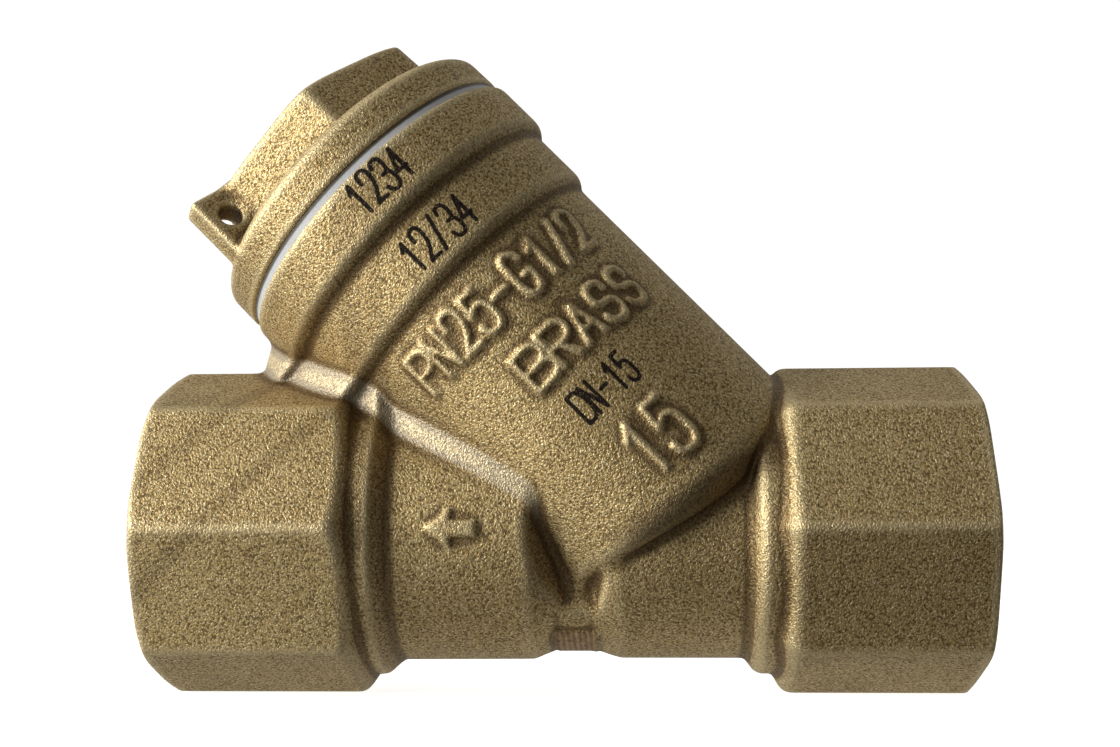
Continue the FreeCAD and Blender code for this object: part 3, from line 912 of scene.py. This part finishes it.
def brass():
    """Shot-blasted hot-forged brass: fine pitted grain, edges lighter from wear and a painted highlight, valleys
    browner from dirt and painted shade, with painted shade in sheltered places and steps and a painted whitish
    reflection on the bevel.
    """
    m = Nodes("blasted_brass")
    tone = {name: shade(colour) for name, colour in BRASS.items()}
    cloud = m.noise(110, 3, 0.55)
    grain = m.noise(8000, 1, 0.5)
    pits = m.noise(5000, 1, 0.5, offset=0.7)
    edge = m.attribute("edge")
    # Share of painted dark brown shade in the hollow, on the barrel's end and in steps, mottled.
    scale = m.math("MULTIPLY", m.attribute("painted_shade"), m.spread(cloud, 0.3, 0.6, 0.65, 0.95))
    flash = m.attribute("flash")
    ridges = flash_ridges(m)
    # Ambient occlusion, used below to paint shade in sheltered places.
    hollow = m.add("ShaderNodeAmbientOcclusion", {"Distance": 0.006}, samples=4, only_local=True)

    colour = m.mix(m.spread(cloud, 0.35, 0.65), tone["dull"], tone["clean"])
    colour = m.mix(m.spread(grain, 0.48, 0.68, 0.0, 0.9), colour, tone["glint"])
    colour = m.mix(m.spread(pits, 0.54, 0.34, 0.0, 0.9), colour, tone["pit"])
    # Outer edges lightened: partly wear, partly a painted highlight.
    colour = m.mix(m.spread(edge, 0.05, 0.5, 0.0, 0.4), colour, tone["worn and highlit edge"])
    # Valleys darkened: partly dirt, partly painted shade.
    colour = m.mix(m.spread(edge, -0.02, -0.25, 0.0, 0.7), colour, tone["valley dirt and shade"])
    # Painted shade where ambient occlusion finds the surface sheltered.
    colour = m.mix(m.spread(hollow.outputs["AO"], 0.72, 0.3, 0.0, 0.6), colour, tone["ao shade"])
    # Painted whitish reflection on the bevel.
    colour = m.mix(m.math("MULTIPLY", m.attribute("bevel"), 0.4), colour, tone["bevel"])
    # Painted dark brown shade in the hollow, on the barrel's end and in steps.
    colour = m.mix(m.math("MULTIPLY", scale, 0.75), colour, tone["scale"])
    marks = m.math("ADD", ridges, m.spread(m.noise(1500, 2), 0.3, 0.7, -1.2, 1.2))
    trimmed = m.mix(m.spread(marks, -1.0, 1.0), tone["flash groove"], tone["flash ridge"])
    colour = m.mix(m.math("MULTIPLY", flash, 0.7), colour, trimmed)

    ink = m.spread(m.attribute("ink"), 0.03, -0.04)
    worn_ink = m.math("MULTIPLY", ink, m.spread(grain, 0.25, 0.4, 0.6, 1.0))
    colour = m.mix(worn_ink, colour, tone["ink"])

    m.feed(m.shader.inputs["Base Color"], colour)
    m.feed(m.shader.inputs["Metallic"], m.math("SUBTRACT", 0.8, m.math("MULTIPLY", worn_ink, 0.8)))
    m.feed(m.shader.inputs["Roughness"], m.spread(pits, 0.3, 0.7, 0.62, 0.5))
    m.feed(m.shader.inputs["Specular IOR Level"], m.math("MULTIPLY_ADD", worn_ink, -0.45, 0.5))
    rough = m.bump(pits, PIT_DEPTH)
    rough = m.bump(grain, GRAIN_HEIGHT, normal=rough)
    trimmed_height = m.math("MULTIPLY", ridges, flash)
    m.feed(m.shader.inputs["Normal"], m.bump(trimmed_height, RIDGE_HEIGHT, normal=rough))
    return m.material


def flash_ridges(m):
    """Upright tool marks: a wave from -1 to 1 along the run."""
    place = m.add("ShaderNodeTexCoord").outputs["Object"]
    along = m.add("ShaderNodeSeparateXYZ", {0: place}).outputs["X"]
    return m.math("SINE", m.math("MULTIPLY", along, 2 * math.pi / (FLASH_PITCH * MM)))


def ptfe():
    """White PTFE with a waxy sheen and faint turning marks, and a painted shadow of the cap's flange where it
    meets the cap.
    """
    m = Nodes("white_ptfe")
    cloud = m.noise(400, 2)
    place = m.add("ShaderNodeTexCoord").outputs["Object"]
    along = m.add("ShaderNodeVectorMath", {0: place, 1: tuple(RISE)}, operation="DOT_PRODUCT")
    cap_foot = (CROSSING @ RISE + FLANGE_FOOT) * MM
    below_cap = m.math("SUBTRACT", cap_foot, along.outputs["Value"])
    colour = m.mix(cloud, shade(PTFE["dull"]), shade(PTFE["clean"]))
    # Painted shadow of the cap's flange along the gasket's edge next to it.
    colour = m.mix(m.spread(below_cap, 0.00035, 0.0002), colour, shade(PTFE["flange shadow"]))
    m.feed(m.shader.inputs["Base Color"], colour)
    m.feed(m.shader.inputs["Roughness"], m.spread(cloud, 0.3, 0.7, 0.35, 0.5))
    m.feed(m.shader.inputs["Subsurface Weight"], 0.05)
    m.feed(m.shader.inputs["Subsurface Scale"], 0.0003)
    m.feed(m.shader.inputs["Normal"], m.bump(m.noise(2500, 2), 0.00002))
    return m.material


def stainless():
    """Bright stainless wire and strip, with fine drawing marks and slight heat colour."""
    m = Nodes("stainless_steel")
    cloud = m.noise(300, 3)
    fine = m.noise(4000, 2)
    m.feed(m.shader.inputs["Base Color"], m.mix(cloud, shade(STEEL["dull"]), shade(STEEL["clean"])))
    m.feed(m.shader.inputs["Metallic"], 1.0)
    m.feed(m.shader.inputs["Roughness"], m.spread(fine, 0.3, 0.7, 0.22, 0.4))
    m.feed(m.shader.inputs["Normal"], m.bump(fine, 0.00001))
    return m.material


def paper():
    """Pale floor to the camera. To the object it is darker, and glows behind and beside the run."""
    m = Nodes("pale_floor")
    seen = m.add("ShaderNodeLightPath").outputs["Is Camera Ray"]
    pale = m.mix(m.noise(60, 2), shade(FLOOR["dull"]), shade(FLOOR["clean"]))
    place = m.add("ShaderNodeTexCoord").outputs["Object"]
    parts = m.add("ShaderNodeSeparateXYZ", {0: place}).outputs
    behind = m.spread(parts["Y"], -0.014, -0.006, 0.0, GLOW_BEHIND)
    beside = m.spread(parts["X"], -0.02, -0.06, 0.0, GLOW_BESIDE)
    glow = m.math("MAXIMUM", behind, beside)
    m.feed(m.shader.inputs["Base Color"], m.mix(seen, shade(FLOOR["unseen"]), pale))
    m.feed(m.shader.inputs["Roughness"], 0.9)
    m.feed(m.shader.inputs["Emission Color"], shade(WHITE))
    m.feed(m.shader.inputs["Emission Strength"], m.math("MAXIMUM", m.math("MULTIPLY", seen, 0.85), glow))
    return m.material


def give(made, material):
    made.data.materials.clear()
    made.data.materials.append(material)


# ---------------------------------------------------------------- stage

ROOM_DIM = 0.05
ROOM_SIDES = [
    {"toward": (-1.0, 0.0, 0.15), "steepness": 2.5, "strength": 0.75},
    {"toward": (0.65, 0.5, 0.6), "steepness": 9.0, "strength": 0.45},
]
BACKDROP_STRENGTH = 1.05
FLOOR_REACH = 1.5

# The one lamp, in metres and watts. Its place and aim are measured from the middle of the run.
KEY_PLACE = (-0.5, -0.235, 0.125)
KEY_AIM = (0.0, 0.0, 0.01)
KEY_SIZE = 0.25
KEY_POWER = 3.6

# Camera: its place from the middle of the run in metres, its angles in degrees, its lens in mm.
CAMERA_PLACE = (0.00579, -0.118, -0.00103)
CAMERA_ANGLES = (96.87, 0.17, 3.04)
CAMERA_LENS = 44.83


def make_floor(lowest):
    corners = [(-1, -1), (1, -1), (1, 1), (-1, 1)]
    vertices = np.array([(x * FLOOR_REACH, y * FLOOR_REACH, lowest) for x, y in corners])
    floor = new_mesh("floor", vertices, np.array([[0, 1, 2, 3]]))
    give(floor, paper())


def make_world():
    """White to the camera, and to the object a dim room that is bright on a few sides."""
    world = bpy.data.worlds.new("soft_room")
    bpy.context.scene.world = world
    world.use_nodes = True
    tree = world.node_tree
    tree.nodes.clear()

    def add(kind, inputs, **settings):
        node = tree.nodes.new(kind)
        for key, value in settings.items():
            setattr(node, key, value)
        for key, value in inputs.items():
            if isinstance(value, bpy.types.NodeSocket):
                tree.links.new(value, node.inputs[key])
            else:
                node.inputs[key].default_value = value
        return node.outputs

    direction = add("ShaderNodeTexCoord", {})["Generated"]
    level = ROOM_DIM
    for side in ROOM_SIDES:
        toward = Vector(side["toward"]).normalized()
        facing = add("ShaderNodeVectorMath", {0: direction, 1: toward}, operation="DOT_PRODUCT")["Value"]
        share = add("ShaderNodeMapRange", {"Value": facing, "From Min": -1.0})[0]
        steep = add("ShaderNodeMath", {0: share, 1: side["steepness"]}, operation="POWER")[0]
        inputs = {0: steep, 1: side["strength"], 2: level}
        level = add("ShaderNodeMath", inputs, operation="MULTIPLY_ADD")[0]
    room = add("ShaderNodeBackground", {"Color": shade(WHITE), "Strength": level})[0]
    white = add("ShaderNodeBackground", {"Color": shade(WHITE), "Strength": BACKDROP_STRENGTH})[0]
    seen = add("ShaderNodeLightPath", {})["Is Camera Ray"]
    shown = add("ShaderNodeMixShader", {0: seen, 1: room, 2: white})[0]
    add("ShaderNodeOutputWorld", {"Surface": shown})


def make_key_light(middle):
    light = bpy.data.lights.new("key", "AREA")
    light.shape = "DISK"
    light.size = KEY_SIZE
    light.energy = KEY_POWER
    made = bpy.data.objects.new("key", light)
    made.location = Vector((middle, 0, 0)) + Vector(KEY_PLACE)
    made.rotation_euler = (Vector(KEY_AIM) - Vector(KEY_PLACE)).to_track_quat("-Z", "Y").to_euler()
    bpy.context.scene.collection.objects.link(made)


def make_camera(middle):
    """Camera in front of the run and slightly towards the inlet, tilted up a little."""
    camera = bpy.data.cameras.new("camera")
    camera.lens = CAMERA_LENS
    camera.sensor_width = 36.0
    camera.clip_start = 0.01
    made = bpy.data.objects.new("camera", camera)
    made.location = Vector((middle, 0, 0)) + Vector(CAMERA_PLACE)
    made.rotation_euler = Euler([math.radians(angle) for angle in CAMERA_ANGLES])
    bpy.context.scene.collection.objects.link(made)
    bpy.context.scene.camera = made


def build():
    brass_material = brass()
    steel = stainless()
    give(make_body(), brass_material)
    give(make_cap(), brass_material)
    give(make_screen(), steel)
    give(frame["nodes"]["cap_gasket"], ptfe())
    for name in ("screen_seam", "screen_foot_rim", "screen_top_rim"):
        give(frame["nodes"][name], steel)

    low, high = cad_box
    middle = (low.x + high.x) / 2
    make_floor(low.z)
    make_world()
    make_key_light(middle)
    make_camera(middle)
    bpy.context.scene.view_settings.view_transform = "Standard"


build()
